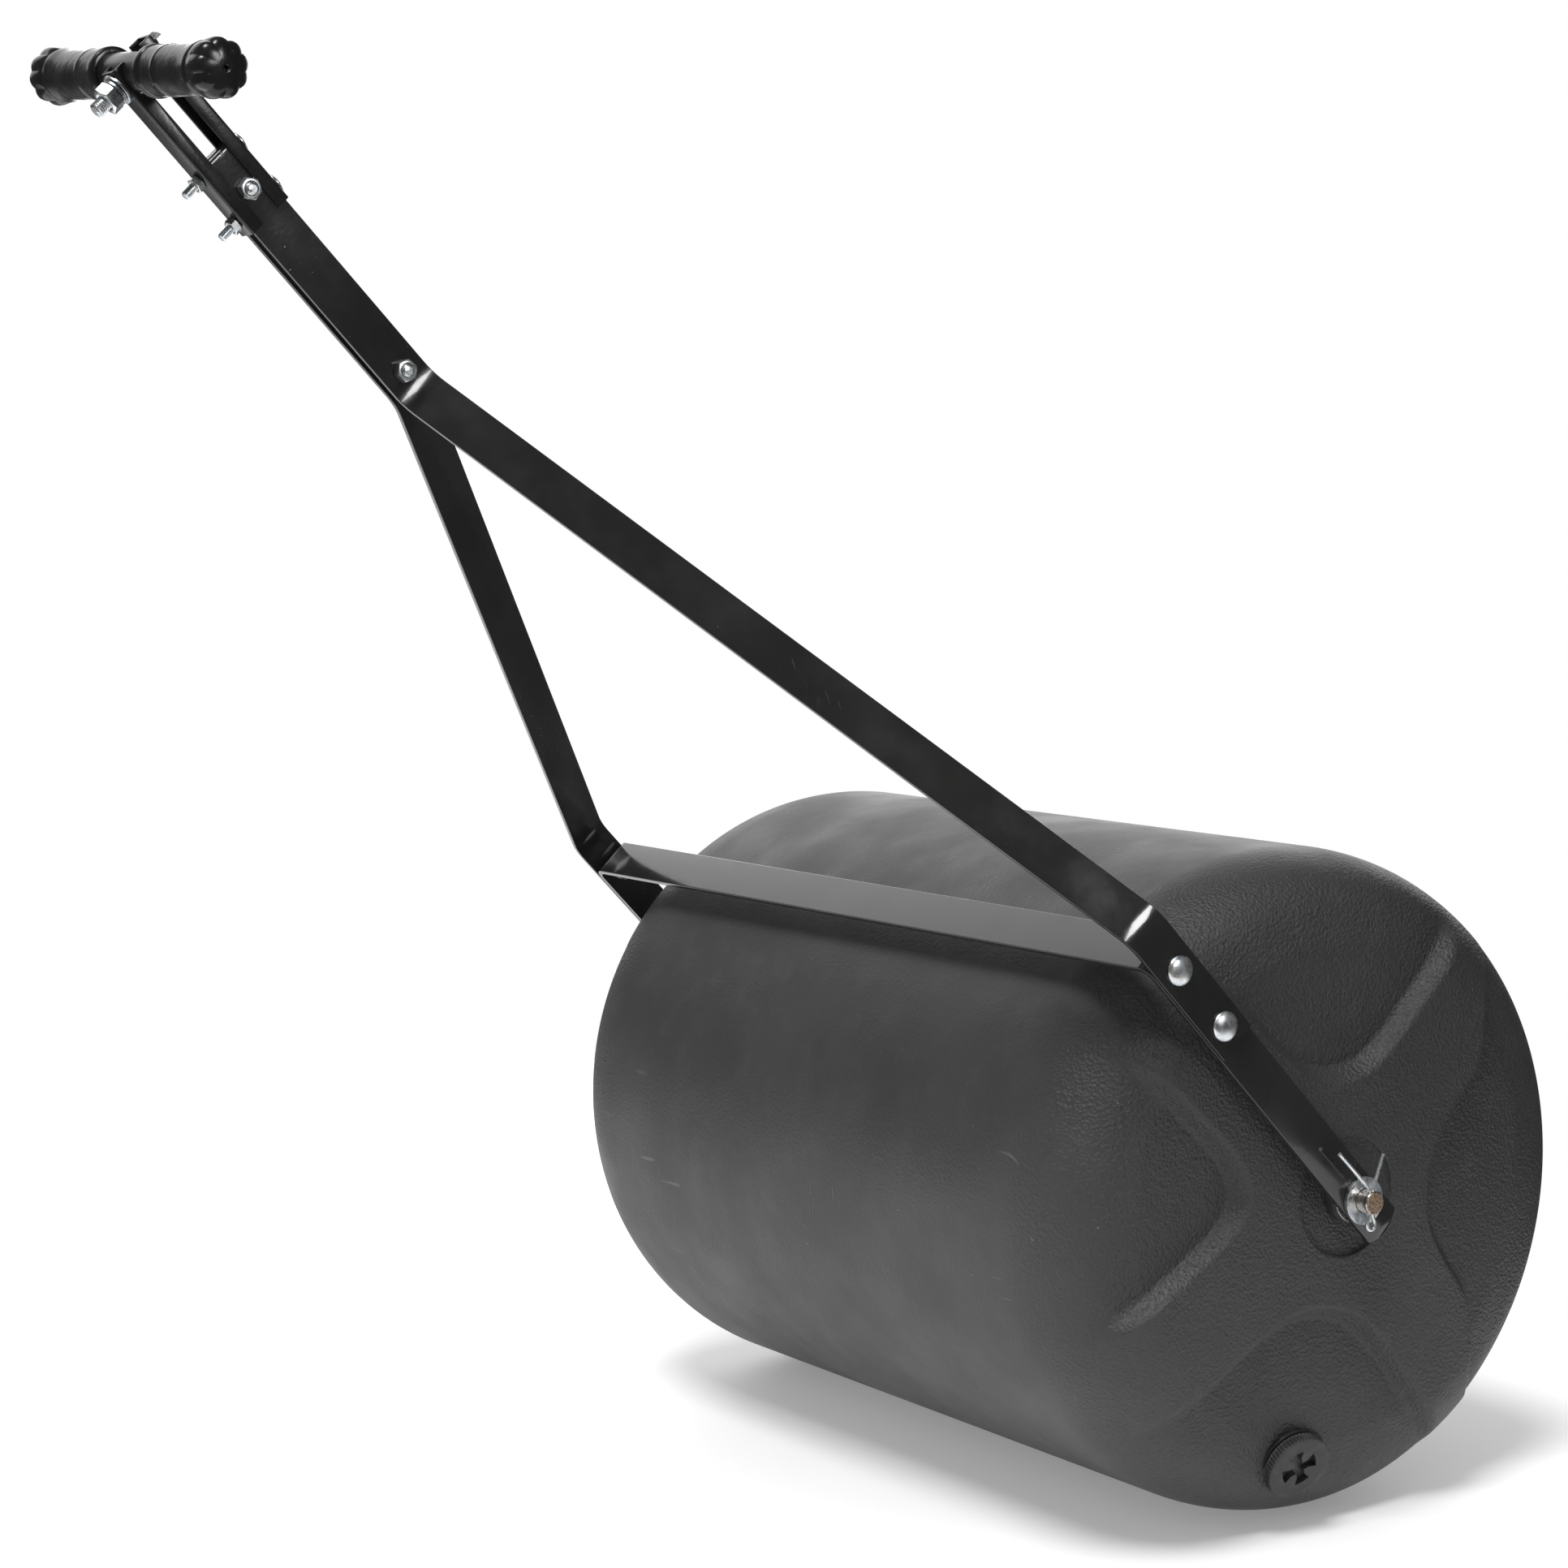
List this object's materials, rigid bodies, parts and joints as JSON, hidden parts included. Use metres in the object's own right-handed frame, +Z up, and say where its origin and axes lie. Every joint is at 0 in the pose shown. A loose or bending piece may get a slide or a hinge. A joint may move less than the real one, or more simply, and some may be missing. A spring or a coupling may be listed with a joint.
{
  "type": "lawn roller",
  "caption": "Hollow water-ballasted drum that spins on an axle in a flat-bar yoke, with two arms that meet in a T-handle and a screw-in fill plug.",
  "frame": {"origin": "on the ground, on the drum's lowest flat facet, straight below the middle of the axle", "axes": "+X along the axle towards the end with the fill plug, -Y towards the handle, +Z up"},
  "size_m": [0.714, 0.9438, 0.9995],
  "materials": {
    "drum_plastic": "satin charcoal polyethylene with a fine moulded grain",
    "bushing_plastic": "satin black moulded plastic",
    "gasket_rubber": "matt black rubber",
    "axle_steel": "plain cold-drawn steel rod with a lightly tarnished end",
    "zinc_plate": "bright zinc plating",
    "black_paint": "gloss black powder coat on flat bar and tube",
    "grip_vinyl": "glossy black dipped vinyl"
  },
  "bodies": {
    "frame": {"yoke": "black_paint", "long_arm_right": "black_paint", "long_arm_left": "black_paint", "hitch_bracket_upper": "black_paint", "hitch_bracket_lower": "black_paint", "handle_bar": "black_paint", "inner_washer_right": "zinc_plate", "outer_washer_right": "zinc_plate", "cotter_pin_right": "zinc_plate", "arm_bolt_right_lower": "zinc_plate", "arm_nut_right_lower": "zinc_plate", "arm_bolt_right_upper": "zinc_plate", "arm_nut_right_upper": "zinc_plate", "inner_washer_left": "zinc_plate", "outer_washer_left": "zinc_plate", "cotter_pin_left": "zinc_plate", "arm_bolt_left_lower": "zinc_plate", "arm_nut_left_lower": "zinc_plate", "arm_bolt_left_upper": "zinc_plate", "arm_nut_left_upper": "zinc_plate", "handle_bolt_lower": "zinc_plate", "handle_nut_lower": "zinc_plate", "handle_spacer_lower": "zinc_plate", "bracket_bolt_lower": "zinc_plate", "bracket_nut_lower": "zinc_plate", "handle_bolt_upper": "zinc_plate", "handle_nut_upper": "zinc_plate", "handle_spacer_upper": "zinc_plate", "bracket_bolt_upper": "zinc_plate", "bracket_nut_upper": "zinc_plate", "handle_bar_bolt": "zinc_plate", "handle_bar_washer": "zinc_plate", "handle_bar_lock_washer": "zinc_plate", "handle_bar_nut": "zinc_plate", "grip_right": "grip_vinyl", "grip_left": "grip_vinyl", "axle_rod": "axle_steel"},
    "drum": {"drum_shell": "drum_plastic", "hub_bushing_right": "bushing_plastic", "hub_bushing_left": "bushing_plastic"},
    "filler_gasket": {"plug_gasket": "gasket_rubber"},
    "filler_plug": {"fill_plug": "bushing_plastic"}
  },
  "joints": [
    {"name": "drum_spin", "type": "hinge", "parent": "frame", "child": "drum", "pos_m": [0, 0, 0.22811], "axis": [1, 0, 0], "continuous": true},
    {"name": "plug_lift", "type": "slide", "parent": "drum", "child": "filler_gasket", "axis": [0.9272, -0.0779, -0.3664], "range_m": [0, 0.0201]},
    {"name": "plug_turn", "type": "hinge", "parent": "filler_gasket", "child": "filler_plug", "pos_m": [0.3134, -0.03765, 0.05097], "axis": [0.9272, -0.0779, -0.3664], "range_deg": [0, 1800]}
  ],
  "couplings": [
    {"joint": "plug_lift", "follows": "plug_turn", "m_per_rad": 0.00063662}
  ]
}
